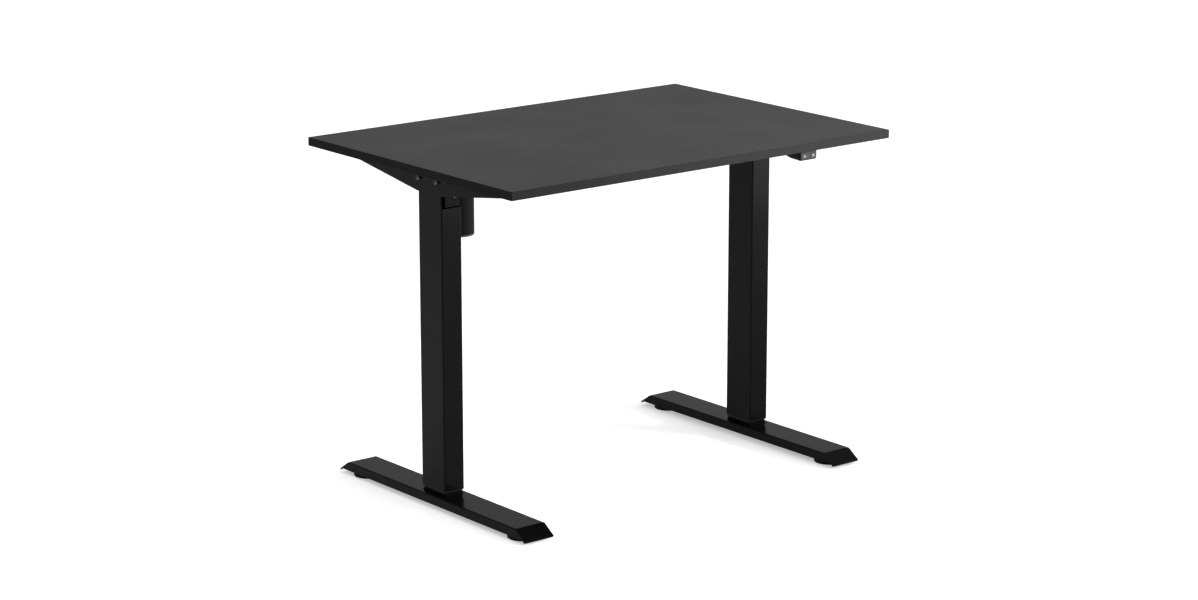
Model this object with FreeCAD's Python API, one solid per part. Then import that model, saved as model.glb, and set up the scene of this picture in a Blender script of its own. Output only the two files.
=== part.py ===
"""Height adjustable standing desk, at its lowest height.

Frame: millimetres, +X to the right of a person sitting at the desk, +Y to the back, +Z up.
The origin is on the floor under the middle of the desktop.

How it works: one motor stands beside the left leg. Its worm turns a wheel on a hexagonal
shaft that runs across the desk under the top. A bevel pair in the head of each leg turns an
upright screw, and the nut of that screw sits on top of the leg's lower tube. So both legs
push the top up together. Legs are drawn for the right side and mirrored for the left one.
"""
import FreeCAD
import Part

import math
import os

V = FreeCAD.Vector
X_AXIS = V(1, 0, 0)
Y_AXIS = V(0, 1, 0)
Z_AXIS = V(0, 0, 1)
ORIGIN = V(0, 0, 0)

# ---- driving dimensions ---------------------------------------------------------------
TOP_WIDTH = 1000.0          # desktop along X
TOP_DEPTH = 700.0           # desktop along Y
TOP_THICKNESS = 18.0
TOP_HEIGHT = 732.0          # upper face of the desktop, desk fully lowered
BAND_THICKNESS = 1.0        # glued edge strip
LIFT_TRAVEL = 470.0         # how far the top rises

LEG_X = 417.0               # leg axis from the middle of the desk
OUTER_TUBE = (50.0, 80.0)   # moving leg tube, along X and Y
INNER_TUBE = (45.0, 75.0)   # standing leg tube
TUBE_WALL = 1.5
TUBE_CORNER = 3.0
OUTER_BOTTOM = 41.5         # lower end of the moving tube
OUTER_TOP = 709.5
INNER_TOP = 612.0

PAD_HEIGHT = 2.0            # rubber pads between steel and desktop
SHEET = 2.0                 # bracket and crossbeam sheet
BRACKET_LENGTH = 560.0
BRACKET_HALF = 27.25        # outer half width of the bracket channel
BRACKET_DEEP = 49.0         # depth at the leg, below the bracket's upper face
BRACKET_SHALLOW = 12.5      # depth at its two ends
BRACKET_FLAT = 40.0         # half length of the deep stretch

FOOT_WIDTH = 74.0
FOOT_TOP = 30.0
FOOT_SHEET = 3.0
FOOT_BEND = 3.0             # outer radius of the folds along the foot
FOOT_FLAT = 292.5           # half length of the foot's flat top
FOOT_TIP = (325.0, 8.4)     # Y and Z of the sloping flap's lower edge
FOOT_WALL_BOTTOM = 11.0
FOOT_WALL_END = 311.0       # half length of the side walls along their lower edge

GLIDE_Y = 270.0             # levelling glides from the leg axis
GLIDE_RADIUS = 32.0
GLIDE_HEIGHT = 12.0
STUD_RADIUS = 4.0
BUSH_BOTTOM = 14.0

SHAFT_Z = 676.0             # axis of the cross shaft
HEX_FLATS = 8.0
BOLT_Y = 31.0               # bolts that join bracket, tube and gear housing
BOLT_Z = 692.0
BOLT_RADIUS = 3.0
NOTCH = (636.0, 672.0)      # window in the tube for the gear housing

BEVEL_TEETH = 16
BEVEL_PITCH_RADIUS = 14.0
BEVEL_FACE = 8.0
BEVEL_ADDENDUM = 1.2
BEVEL_DEDENDUM = 1.6
BEVEL_TOOTH = 2.1           # tooth thickness on the pitch cone
PRESSURE_ANGLE = math.radians(20.0)

SPINDLE_RADIUS = 8.0
SPINDLE_SHOULDER = 643.0    # where the screw ends and its bearing journal starts
NUT_BODY = 35.0             # length of the nut below its flange
SPINDLE_SPARE = 2.0         # screw left in the nut's lower end, desk fully raised
SPINDLE_BOTTOM = INNER_TOP - NUT_BODY - LIFT_TRAVEL - SPINDLE_SPARE
JOURNAL_RADIUS = 6.0
RUNNING_GAP = 0.05          # radial clearance of a shaft in its bearing

MOTOR_X = -355.0
MOTOR_RADIUS = 31.5
MOTOR_BOTTOM = 562.6
MOTOR_CAP_TOP = 567.0
MOTOR_CAN_TOP = 657.0
WHEEL_TEETH = 29
WHEEL_PITCH_RADIUS = 14.5
WHEEL_WIDTH = 8.0
WORM_STARTS = 2
WORM_PITCH_RADIUS = 5.0
WORM_LENGTH = 20.0
MOTOR_SHAFT_RADIUS = 3.0
WORM_Y = WHEEL_PITCH_RADIUS + WORM_PITCH_RADIUS

HANDSET_X = (248.0, 296.0)
HANDSET_FRONT = -348.5
HANDSET_BACK = -290.5
HANDSET_DEPTH = 18.5        # below the desktop
HANDSET_WALL = 2.5
BUTTON_SIZE = (14.0, 10.4)  # along X and Z
BUTTON_SPACING = 24.0
BUTTON_REAR = 3.0           # rear of a button behind the handset's front
BUTTON_TRAVEL = 0.8

BOX_X = (-70.0, 110.0)      # control box
BOX_Y = (100.0, 180.0)
BOX_BOTTOM = 684.0
BOX_WALL = 2.5
LID_THICKNESS = 3.0
SOCKET_Z = BOX_BOTTOM + 13.5
SOCKET_WALL = 1.5

UNDERSIDE = TOP_HEIGHT - TOP_THICKNESS
STEEL_TOP = UNDERSIDE - PAD_HEIGHT
DESK_SCREW_Y = (-240.0, -100.0, 100.0, 240.0)
DESK_SCREW_RADIUS = 2.5
WOOD_SCREW_RADIUS = 1.75
SCREW_FIT = 0.1             # radial clearance of a screw in the wood
LOCK_SCREW_X = LEG_X - 9.0  # screw that locks the spindle bearing
LOCK_SCREW_Z = 659.0
BOLT_CLEARANCE = 0.2        # radial clearance of a bolt in sheet metal


# ---- small helpers ---------------------------------------------------------------------
def block(x_range, y_range, z_range):
    """Box between two X, two Y and two Z values."""
    size = [hi - lo for lo, hi in (x_range, y_range, z_range)]
    return Part.makeBox(size[0], size[1], size[2], V(x_range[0], y_range[0], z_range[0]))


def rod(radius, start, length, axis=Z_AXIS):
    return Part.makeCylinder(radius, length, start, axis)


def ring(outer, inner, start, length, axis=Z_AXIS):
    hole = rod(inner, start - axis, length + 2, axis)
    return rod(outer, start, length, axis).cut(hole)


def prism(points, direction):
    """Solid swept straight from a closed outline."""
    return Part.Face(Part.makePolygon(points + [points[0]])).extrude(direction)


def rounded_bar(size, corner, z_range, x=LEG_X):
    """Upright bar of rounded rectangular section."""
    half_x, half_y = size[0] / 2, size[1] / 2
    bar = block((x - half_x, x + half_x), (-half_y, half_y), z_range)
    upright = [e for e in bar.Edges if abs(e.tangentAt(e.FirstParameter).z) > 0.99]
    return bar.makeFillet(corner, upright)


def rounded_tube(size, wall, corner, z_range):
    inside = (size[0] - 2 * wall, size[1] - 2 * wall)
    bore = rounded_bar(inside, max(corner - wall, 0.5), (z_range[0] - 1, z_range[1] + 1))
    return rounded_bar(size, corner, z_range).cut(bore)


def hexagon(flats, start, length, axis=X_AXIS):
    """Hexagonal bar along X, one corner up."""
    corner = flats / math.sqrt(3)
    points = []
    for i in range(6):
        angle = math.radians(60 * i)
        points.append(start + V(0, corner * math.sin(angle), corner * math.cos(angle)))
    return prism(points, axis * length)


def edges_along(shape, axis, keep):
    """Edges parallel to an axis whose middle passes a test."""
    found = []
    for edge in shape.Edges:
        middle = edge.CenterOfMass
        if abs(edge.tangentAt(edge.FirstParameter).dot(axis)) > 0.999 and keep(middle):
            found.append(edge)
    return found


def mirrored(shape):
    """The left hand copy of a right hand piece."""
    return shape.mirror(ORIGIN, X_AXIS)


def save(name, shape):
    solids = shape.Solids
    assert solids and all(s.isValid() for s in solids), name
    whole = solids[0] if len(solids) == 1 else Part.makeCompound(solids)
    whole.exportStep("parts/" + name + ".step")
    print(name, len(solids), round(sum(s.Volume for s in solids) / 1000, 2), "cm3")


def save_pair(name, shape):
    """Write a right hand piece and its mirror image."""
    save("right_" + name, shape)
    save("left_" + name, mirrored(shape))


# ---- desktop ---------------------------------------------------------------------------
def desktop_blank():
    half_w, half_d = TOP_WIDTH / 2, TOP_DEPTH / 2
    slab = block((-half_w, half_w), (-half_d, half_d), (UNDERSIDE, TOP_HEIGHT))
    slab = slab.makeFillet(1.2, edges_along(slab, Z_AXIS, lambda p: True))
    rim = [e for e in slab.Edges if abs(e.tangentAt(e.FirstParameter).z) < 0.01]
    return slab.makeFillet(0.6, rim)


def desktop_core_region():
    half_w = TOP_WIDTH / 2 - BAND_THICKNESS
    half_d = TOP_DEPTH / 2 - BAND_THICKNESS
    return block((-half_w, half_w), (-half_d, half_d), (UNDERSIDE - 1, TOP_HEIGHT + 1))


def wood_screw_places():
    """Small screws that hold the control box and the handset to the desktop."""
    box_x = (BOX_X[0] - 8, BOX_X[1] + 8)
    box_y = (BOX_Y[0] + 12, BOX_Y[1] - 12)
    places = [(x, y) for x in box_x for y in box_y]
    middle = sum(HANDSET_X) / 2
    return places + [(middle - 10, HANDSET_BACK + 14), (middle + 10, HANDSET_BACK + 14)]


def desktop_board():
    board = desktop_blank().common(desktop_core_region())
    for side in (-1, 1):
        for y in DESK_SCREW_Y:
            hole = rod(DESK_SCREW_RADIUS + SCREW_FIT, V(side * LEG_X, y, UNDERSIDE - 1), 14.5)
            board = board.cut(hole)
    for x, y in wood_screw_places():
        board = board.cut(rod(WOOD_SCREW_RADIUS + SCREW_FIT, V(x, y, UNDERSIDE - 1), 12.5))
    return board


def edge_banding():
    """Four strips: the short ones butt between the long ones."""
    rim = desktop_blank().cut(desktop_core_region())
    split = TOP_WIDTH / 2 - BAND_THICKNESS
    tall = (UNDERSIDE - 1, TOP_HEIGHT + 1)
    strips = []
    for x_range in ((-600, -split), (split, 600)):
        strips += rim.common(block(x_range, (-600, 600), tall)).Solids
    for y_range in ((-600, 0), (0, 600)):
        strips += rim.common(block((-split, split), y_range, tall)).Solids
    return Part.makeCompound(strips)


def damping_pads():
    pads = []
    for side in (-1, 1):
        for y in DESK_SCREW_Y:
            pads.append(ring(12.0, 2.8, V(side * LEG_X, y, STEEL_TOP), PAD_HEIGHT))
    return Part.makeCompound(pads)


def pan_screw(x, y, head_bottom, shank, head):
    """Upward screw: a domed head with a cross slot below a plain shank."""
    head_radius, head_height = head
    body = rod(head_radius, V(x, y, head_bottom), head_height)
    body = body.makeFillet(head_height * 0.45, [body.Edges[i] for i in lower_rim(body)])
    for turn in (0, 90):
        slot = block((-head_radius * 0.6, head_radius * 0.6), (-0.5, 0.5), (-1, head_height * 0.5))
        slot.rotate(ORIGIN, Z_AXIS, turn)
        slot.translate(V(x, y, head_bottom))
        body = body.cut(slot)
    radius, length = shank
    return body.fuse(rod(radius, V(x, y, head_bottom + head_height), length))


def lower_rim(body):
    low = body.BoundBox.ZMin
    return [i for i, e in enumerate(body.Edges) if e.BoundBox.ZMax < low + 0.01]


def desktop_screws():
    head = (5.0, 3.0)
    shank = (DESK_SCREW_RADIUS, 17.0)
    made = []
    for side in (-1, 1):
        for y in DESK_SCREW_Y:
            made.append(pan_screw(side * LEG_X, y, STEEL_TOP - SHEET - head[1], shank, head))
    return Part.makeCompound(made)


def small_wood_screws():
    head = (3.5, 2.0)
    shank = (WOOD_SCREW_RADIUS, 14.0)
    low = UNDERSIDE - LID_THICKNESS - head[1]
    made = [pan_screw(x, y, low, shank, head) for x, y in wood_screw_places()]
    return Part.makeCompound(made)


# ---- side brackets ---------------------------------------------------------------------
def side_bracket():
    """Inverted channel that tapers from the leg to its two ends."""
    half = BRACKET_LENGTH / 2
    top = STEEL_TOP
    outline = [
        V(LEG_X - BRACKET_HALF, -half, top),
        V(LEG_X - BRACKET_HALF, half, top),
        V(LEG_X - BRACKET_HALF, half, top - BRACKET_SHALLOW),
        V(LEG_X - BRACKET_HALF, BRACKET_FLAT, top - BRACKET_DEEP),
        V(LEG_X - BRACKET_HALF, -BRACKET_FLAT, top - BRACKET_DEEP),
        V(LEG_X - BRACKET_HALF, -half, top - BRACKET_SHALLOW),
    ]
    body = prism(outline, X_AXIS * (2 * BRACKET_HALF))
    body = body.makeFillet(SHEET, edges_along(body, Y_AXIS, lambda p: p.z > top - 0.1))
    inner = BRACKET_HALF - SHEET
    body = body.cut(block((LEG_X - inner, LEG_X + inner), (-300, 300), (600, top - SHEET)))
    for y in DESK_SCREW_Y:
        body = body.cut(rod(2.8, V(LEG_X, y, top - 10), 20))
    for y in (-BOLT_Y, BOLT_Y):
        body = body.cut(rod(BOLT_RADIUS + BOLT_CLEARANCE, V(LEG_X - 40, y, BOLT_Z), 80, X_AXIS))
    return body.cut(rod(8.0, V(LEG_X - 40, 0, SHAFT_Z), 30, X_AXIS))


def cap_bolt(start, axis, shank):
    """Cap screw with a hexagon socket; start is the middle of the head's bearing face."""
    head = rod(5.0, start - axis * 6.0, 6.0, axis)
    rims = [e for e in head.Edges if (e.CenterOfMass - start).Length > 5.9 and e.Closed]
    head = head.makeFillet(1.8, rims)
    socket = hexagon(5.0, V(start.x - axis.x * 6.5, start.y, start.z), 3.5, axis)
    return head.cut(socket).fuse(rod(BOLT_RADIUS, start, shank, axis))


def bracket_bolts():
    """Four bolts from outside and four from inside the legs."""
    outside = LEG_X + BRACKET_HALF
    inside = LEG_X - BRACKET_HALF - 2.5
    made = []
    for y in (-BOLT_Y, BOLT_Y):
        for side in (-1, 1):
            made.append(cap_bolt(V(side * outside, y, BOLT_Z), V(-side, 0, 0), 18.0))
        made.append(cap_bolt(V(inside, y, BOLT_Z), X_AXIS, 18.0))
        made.append(cap_bolt(V(-inside + 4.0, y, BOLT_Z), V(-1, 0, 0), 18.0))
    return Part.makeCompound(made)


# ---- crossbeam -------------------------------------------------------------------------
def beam_channel(x_range, half_width, top, bottom):
    body = block(x_range, (-half_width, half_width), (bottom, top))
    body = body.makeFillet(SHEET, edges_along(body, X_AXIS, lambda p: p.z > top - 0.1))
    inner = half_width - SHEET
    return body.cut(block((x_range[0] - 1, x_range[1] + 1), (-inner, inner), (bottom - 1, top - SHEET)))


def beam_screw_places():
    return [(side * x, end) for side in (-1, 1) for x in (150.0, 190.0) for end in (-1, 1)]


def drill_beam(body):
    for x, end in beam_screw_places():
        body = body.cut(rod(3.2, V(x, end * 40, 693), 20, V(0, end, 0)))
    return body


def crossbeam_sleeve():
    return drill_beam(beam_channel((-215, 215), 54.0, STEEL_TOP - 1, 674.0))


def crossbeam_end():
    """Sliding end of the beam with the flange that is bolted to the leg."""
    face = LEG_X - BRACKET_HALF
    top = STEEL_TOP - 1 - SHEET - 0.2
    body = beam_channel((125, face), 51.8, top, 675.0)
    flange = block((face - 2.5, face), (-51.8, 51.8), (675.0, top - 0.5))
    body = drill_beam(body.fuse(flange))
    body = body.cut(rod(8.0, V(face - 10, 0, SHAFT_Z), 20, X_AXIS))
    for y in (-BOLT_Y, BOLT_Y):
        body = body.cut(rod(BOLT_RADIUS + BOLT_CLEARANCE, V(face - 10, y, BOLT_Z), 20, X_AXIS))
    return body


def crossbeam_screws():
    made = []
    for x, end in beam_screw_places():
        inward = V(0, -end, 0)
        head = rod(5.5, V(x, end * 57.2, 693), 3.2, inward)
        rims = [e for e in head.Edges if abs(e.CenterOfMass.y) > 57.1 and e.Closed]
        head = head.makeFillet(1.6, rims)
        head = head.cut(rod(2.0, V(x, end * 58, 693), 2.6, inward))
        made.append(head.fuse(rod(3.0, V(x, end * 54.0, 693), 7.0, inward)))
    return Part.makeCompound(made)


# ---- legs: parts that move with the desktop ----------------------------------------------
def outer_tube():
    tube = rounded_tube(OUTER_TUBE, TUBE_WALL, TUBE_CORNER, (OUTER_BOTTOM, OUTER_TOP))
    window_x = (LEG_X - 30, LEG_X + OUTER_TUBE[0] / 2 - TUBE_WALL)
    tube = tube.cut(block(window_x, (-45, -25), NOTCH))
    for y in (-BOLT_Y, BOLT_Y):
        tube = tube.cut(rod(BOLT_RADIUS + BOLT_CLEARANCE, V(LEG_X - 40, y, BOLT_Z), 80, X_AXIS))
    return tube.cut(rod(8.0, V(LEG_X - 40, 0, SHAFT_Z), 30, X_AXIS))


def guide_sleeve():
    """Plastic liner that guides the standing tube, with a lip under the moving tube."""
    liner_size = (OUTER_TUBE[0] - 2 * TUBE_WALL - 0.1, OUTER_TUBE[1] - 2 * TUBE_WALL - 0.1)
    lip_size = (OUTER_TUBE[0] - 1.0, OUTER_TUBE[1] - 1.0)
    bore_size = (INNER_TUBE[0] + 0.4, INNER_TUBE[1] + 0.4)
    body = rounded_bar(liner_size, 1.5, (OUTER_BOTTOM - 1, OUTER_BOTTOM + 34))
    body = body.fuse(rounded_bar(lip_size, TUBE_CORNER, (OUTER_BOTTOM - 2.5, OUTER_BOTTOM)))
    return body.cut(rounded_bar(bore_size, TUBE_CORNER, (0, 200)))


def gear_housing():
    """Cast block in the head of the leg that carries the bevel pair."""
    reach = OUTER_TUBE[0] / 2 - TUBE_WALL - 0.3
    wide = OUTER_TUBE[1] / 2 - TUBE_WALL - 0.3
    body = block((LEG_X - reach, LEG_X + reach), (-24, 24), (640, 704))
    lugs = rounded_bar((2 * reach, 2 * wide), 1.6, (BOLT_Z - 9, BOLT_Z + 9))
    boss = block((LEG_X - reach, LEG_X + 14), (-37, -20), (638, 664))
    boss = boss.makeFillet(1.5, edges_along(boss, Z_AXIS, lambda p: p.y < -30))
    body = body.fuse([lugs, boss])
    body = body.cut(rod(16.5, V(LEG_X - 15.5, 0, SHAFT_Z), 25.5, X_AXIS))
    body = body.cut(rod(17.0, V(LEG_X, 0, 655), 21))
    body = body.cut(rod(12.05, V(LEG_X - 25, 0, SHAFT_Z), 11, X_AXIS))
    body = body.cut(rod(11.05, V(LEG_X + 13, 0, SHAFT_Z), 7.5, X_AXIS))
    body = body.cut(rod(6.5, V(LEG_X + 5, 0, SHAFT_Z), 10, X_AXIS))
    body = body.cut(rod(14.05, V(LEG_X, 0, 643), 13))
    body = body.cut(rod(9.0, V(LEG_X, 0, 630), 20))
    for y in (-BOLT_Y, BOLT_Y):
        body = body.cut(rod(BOLT_RADIUS + 0.05, V(LEG_X - 40, y, BOLT_Z), 80, X_AXIS))
    return body.cut(rod(1.55, V(LOCK_SCREW_X, -40, LOCK_SCREW_Z), 20, Y_AXIS))


def bearing_lock_screws():
    made = []
    for side in (-1, 1):
        x, z = side * LOCK_SCREW_X, LOCK_SCREW_Z
        head = rod(2.75, V(x, -39, z), 2.0, Y_AXIS)
        rims = [e for e in head.Edges if e.CenterOfMass.y < -38.9 and e.Closed]
        head = head.makeFillet(0.6, rims).cut(rod(1.1, V(x, -40, z), 2.0, Y_AXIS))
        made.append(head.fuse(rod(1.5, V(x, -37, z), 14.0, Y_AXIS)))
    return Part.makeCompound(made)


def shaft_bearings():
    made = []
    for side in (-1, 1):
        for start, outer, inner, width in ((-22.0, 12.0, 7.0, 6.0), (13.0, 11.0, 4.0, 7.0)):
            at = LEG_X + start if side > 0 else -LEG_X - start - width
            made.append(ring(outer, inner + RUNNING_GAP, V(at, 0, SHAFT_Z), width, X_AXIS))
    return Part.makeCompound(made)


def spindle_bearings():
    bore = JOURNAL_RADIUS + RUNNING_GAP
    places = [V(s * LEG_X, 0, SPINDLE_SHOULDER) for s in (-1, 1)]
    return Part.makeCompound([ring(14.0, bore, place, 12.0) for place in places])


# ---- bevel gears, shaft and spindles -----------------------------------------------------
def bevel_tooth(azimuth):
    """Tooth that narrows to the apex, where its outer face shrinks to its inner one."""
    reach = BEVEL_PITCH_RADIUS * math.sqrt(2)
    along = V(math.sqrt(0.5), 0, -math.sqrt(0.5))
    outward = V(math.sqrt(0.5), 0, math.sqrt(0.5))
    root, tip = -BEVEL_DEDENDUM - 0.4, BEVEL_ADDENDUM
    corners = []
    for height, side in ((root, -1), (root, 1), (tip, 1), (tip, -1)):
        half = BEVEL_TOOTH / 2 - height * math.tan(PRESSURE_ANGLE)
        corners.append(along * reach + outward * height + Y_AXIS * (side * half))
    small = (reach - BEVEL_FACE) / reach
    corners.append(corners[0])
    wires = [Part.makePolygon([c * scale for c in corners]) for scale in (1.0, small)]
    tooth = Part.makeLoft(wires, True, True)
    tooth.rotate(ORIGIN, Z_AXIS, azimuth)
    return tooth


def bevel_gear(hub_radius, hub_end, phase):
    """Bevel gear with its apex at the origin and its hub pointing down."""
    reach = BEVEL_PITCH_RADIUS * math.sqrt(2)
    cone = math.radians(45) - math.atan(BEVEL_DEDENDUM / reach)
    far = reach / math.cos(math.radians(45) - cone)
    near = (reach - BEVEL_FACE) / math.cos(math.radians(45) - cone)
    back, front = far * math.cos(cone), near * math.cos(cone)
    body = Part.makeCone(far * math.sin(cone), near * math.sin(cone), back - front, V(0, 0, -back))
    body = body.fuse(rod(hub_radius, V(0, 0, -hub_end), hub_end - back))
    pitch = 360.0 / BEVEL_TEETH
    teeth = [bevel_tooth(pitch * (i + phase)) for i in range(BEVEL_TEETH)]
    return body.fuse(teeth)


def spindle_bevel():
    """Gear on the head of the spindle, a gap facing the pinion."""
    gear = bevel_gear(9.0, SHAFT_Z - 655.2, 0.5)
    gear = gear.cut(rod(5.02, V(0, 0, -30), 40))
    gear.translate(V(LEG_X, 0, SHAFT_Z))
    return gear


def bevel_pinion():
    """Gear on the cross shaft, its hub towards the middle of the desk, a tooth facing down."""
    gear = bevel_gear(7.0, 22.3, 0.0)
    gear.rotate(ORIGIN, Y_AXIS, 90)
    gear.translate(V(LEG_X, 0, SHAFT_Z))
    return gear.cut(hexagon(HEX_FLATS + 0.04, V(LEG_X - 30, 0, SHAFT_Z), 40))


def hex_shaft():
    end = LEG_X + 12.0
    bar = hexagon(HEX_FLATS, V(-end, 0, SHAFT_Z), 2 * end)
    ends = [rod(4.0, V(s * end - (8.0 if s < 0 else 0), 0, SHAFT_Z), 8.0, X_AXIS) for s in (-1, 1)]
    return bar.fuse(ends)


def spindle():
    """Lifting screw, drawn at its outside diameter."""
    length = SPINDLE_SHOULDER - 0.2 - SPINDLE_BOTTOM
    body = rod(SPINDLE_RADIUS, V(LEG_X, 0, SPINDLE_BOTTOM), length)
    body = body.makeFillet(1.5, [body.Edges[i] for i in lower_rim(body)])
    body = body.fuse(rod(JOURNAL_RADIUS, V(LEG_X, 0, SPINDLE_SHOULDER - 1), 13.0))
    return body.fuse(rod(5.0, V(LEG_X, 0, SPINDLE_SHOULDER + 11), 10.0))


# ---- drive unit --------------------------------------------------------------------------
def wheel_tooth(index):
    """Slanted tooth of the worm wheel, around the X axis."""
    lead_angle = (WORM_STARTS * math.pi) / (2 * math.pi * WORM_PITCH_RADIUS)
    wires = []
    for x in (-WHEEL_WIDTH / 2, WHEEL_WIDTH / 2):
        corners = []
        for radius, side in ((12.8, -1), (12.8, 1), (15.3, 1), (15.3, -1)):
            half = 0.52 - (radius - WHEEL_PITCH_RADIUS) * math.tan(PRESSURE_ANGLE)
            corners.append(V(x, radius, side * half))
        wire = Part.makePolygon(corners + [corners[0]])
        twist = math.degrees(lead_angle * x / WHEEL_PITCH_RADIUS)
        wire.rotate(ORIGIN, X_AXIS, twist + 360.0 * index / WHEEL_TEETH)
        wires.append(wire)
    return Part.makeLoft(wires, True, True)


def worm_wheel():
    body = rod(13.2, V(-WHEEL_WIDTH / 2, 0, 0), WHEEL_WIDTH, X_AXIS)
    body = body.fuse([wheel_tooth(i) for i in range(WHEEL_TEETH)])
    body = body.fuse(rod(7.0, V(-16, 0, 0), 32, X_AXIS))
    body.translate(V(MOTOR_X, 0, SHAFT_Z))
    return body.cut(hexagon(HEX_FLATS + 0.04, V(MOTOR_X - 30, 0, SHAFT_Z), 60))


def worm_thread(start_angle):
    """One right hand thread of the worm, around the Z axis, centred on z = 0."""
    lead = WORM_STARTS * math.pi
    helix = Part.makeHelix(lead, WORM_LENGTH, WORM_PITCH_RADIUS)
    corners = []
    for radius, side in ((3.5, -1), (3.5, 1), (6.0, 1), (6.0, -1)):
        half = 0.52 - (radius - WORM_PITCH_RADIUS) * math.tan(PRESSURE_ANGLE)
        corners.append(V(radius, 0, side * half))
    profile = Part.makePolygon(corners + [corners[0]])
    thread = Part.Wire(helix).makePipeShell([profile], True, True)
    thread.translate(V(0, 0, -WORM_LENGTH / 2))
    thread.rotate(ORIGIN, Z_AXIS, start_angle)
    return thread


def motor_armature():
    """Motor shaft with the worm cut on it, the wound core and the commutator."""
    gap_at_wheel = -WORM_LENGTH / 2 / (WORM_STARTS * math.pi) * 360.0
    foot_z = MOTOR_CAP_TOP - 2
    body = rod(MOTOR_SHAFT_RADIUS, V(0, 0, foot_z - SHAFT_Z), 700 - foot_z)
    body = body.fuse([rod(18.0, V(0, 0, 588 - SHAFT_Z), 46), rod(9.0, V(0, 0, 574 - SHAFT_Z), 11)])
    body = body.fuse(rod(3.8, V(0, 0, -12), 24))
    body = body.fuse([worm_thread(gap_at_wheel), worm_thread(gap_at_wheel + 180.0)])
    body.translate(V(MOTOR_X, WORM_Y, SHAFT_Z))
    return body


def motor_gearbox():
    """Worm housing with the round flange on which the motor can hangs."""
    flange = rod(MOTOR_RADIUS, V(MOTOR_X, WORM_Y, MOTOR_CAN_TOP), 6.0)
    body = block((-377, -333), (-20, 34), (MOTOR_CAN_TOP, 704))
    body = body.makeFillet(3.0, edges_along(body, Z_AXIS, lambda p: True))
    face = -(LEG_X - BRACKET_HALF - 2.5)
    ears = block((face, face + 4.0), (-38, 38), (BOLT_Z - 8, BOLT_Z + 8))
    snout = rod(13.0, V(face, 0, SHAFT_Z), 12.0, X_AXIS)
    body = body.fuse([flange, ears, snout])
    body = body.cut(rod(16.2, V(MOTOR_X - 5.5, 0, SHAFT_Z), 11.0, X_AXIS))
    body = body.cut(rod(7.05, V(-400, 0, SHAFT_Z), 80, X_AXIS))
    body = body.cut(rod(7.2, V(MOTOR_X, WORM_Y, SHAFT_Z - 14), 28))
    body = body.cut(rod(4.0, V(MOTOR_X, WORM_Y, MOTOR_CAN_TOP - 1), 10))
    body = body.cut(rod(MOTOR_SHAFT_RADIUS + RUNNING_GAP, V(MOTOR_X, WORM_Y, SHAFT_Z), 25))
    for y in (-BOLT_Y, BOLT_Y):
        body = body.cut(rod(BOLT_RADIUS + BOLT_CLEARANCE, V(face - 5, y, BOLT_Z), 9.5, X_AXIS))
    return body


def motor_can():
    """Steel can with the magnets on its inner wall."""
    height = MOTOR_CAN_TOP - MOTOR_CAP_TOP
    can = ring(MOTOR_RADIUS, 24.0, V(MOTOR_X, WORM_Y, MOTOR_CAP_TOP), height)
    return can.cut(rod(29.0, V(MOTOR_X, WORM_Y, MOTOR_CAP_TOP - 1), 6.0))


def motor_end_cap():
    """Moulded lower cap with the rear bearing and the socket for the motor lead."""
    cap = rod(MOTOR_RADIUS, V(MOTOR_X, WORM_Y, MOTOR_BOTTOM), MOTOR_CAP_TOP - MOTOR_BOTTOM)
    cap = cap.makeFillet(2.2, [cap.Edges[i] for i in lower_rim(cap)])
    cap = cap.fuse(rod(28.8, V(MOTOR_X, WORM_Y, MOTOR_CAP_TOP - 1), 4.0))
    cap = cap.cut(rod(26.0, V(MOTOR_X, WORM_Y, MOTOR_CAP_TOP), 10.0))
    bearing = V(MOTOR_X, WORM_Y, MOTOR_CAP_TOP - 2.5)
    cap = cap.cut(rod(MOTOR_SHAFT_RADIUS + RUNNING_GAP, bearing, 10.0))
    socket_y = (WORM_Y + 12, WORM_Y + 20)
    socket_z = (MOTOR_BOTTOM - 1, MOTOR_CAP_TOP - 1.4)
    return cap.cut(block((MOTOR_X - 6, MOTOR_X + 6), socket_y, socket_z))


# ---- legs: parts that stand on the floor -------------------------------------------------
def inner_tube():
    """Standing tube welded on a base plate, with a bolting block inside its lower end."""
    tube = rounded_tube(INNER_TUBE, TUBE_WALL, TUBE_CORNER, (FOOT_TOP + 3, INNER_TOP))
    plate = rounded_bar((48.0, 78.0), TUBE_CORNER, (FOOT_TOP, FOOT_TOP + 3))
    inside = (INNER_TUBE[0] - TUBE_WALL, INNER_TUBE[1] - TUBE_WALL)
    core = rounded_bar(inside, 2.0, (FOOT_TOP + 2, FOOT_TOP + 9))
    body = tube.fuse([plate, core])
    for x, y in foot_bolt_places():
        body = body.cut(rod(4.05, V(x, y, FOOT_TOP - 1), 20))
    return body


def foot_bolt_places():
    return [(LEG_X + u, y) for u in (-12.0, 12.0) for y in (-24.0, 24.0)]


def spindle_nut():
    """Flanged nut on the upper end of the standing tube."""
    flange = rounded_bar((44.0, 74.0), 2.5, (INNER_TOP, INNER_TOP + 5))
    body = flange.fuse(rod(15.0, V(LEG_X, 0, INNER_TOP - NUT_BODY), NUT_BODY + 1))
    return body.cut(rod(SPINDLE_RADIUS + RUNNING_GAP, V(LEG_X, 0, INNER_TOP - 40), 60))


def slide_pads():
    """Thin strips that keep the standing tube central in the moving one."""
    low, high, thick = INNER_TOP - 60, INNER_TOP - 2, 0.8
    strips = []
    for side in (-1, 1):
        face = LEG_X + side * INNER_TUBE[0] / 2
        x_range = sorted((face, face + side * thick))
        for y in (-22.0, 22.0):
            strips.append(block(x_range, (y - 10, y + 10), (low, high)))
        y_range = sorted((side * INNER_TUBE[1] / 2, side * (INNER_TUBE[1] / 2 + thick)))
        strips.append(block((LEG_X - 14, LEG_X + 14), y_range, (low, high)))
    return Part.makeCompound(strips)


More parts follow.
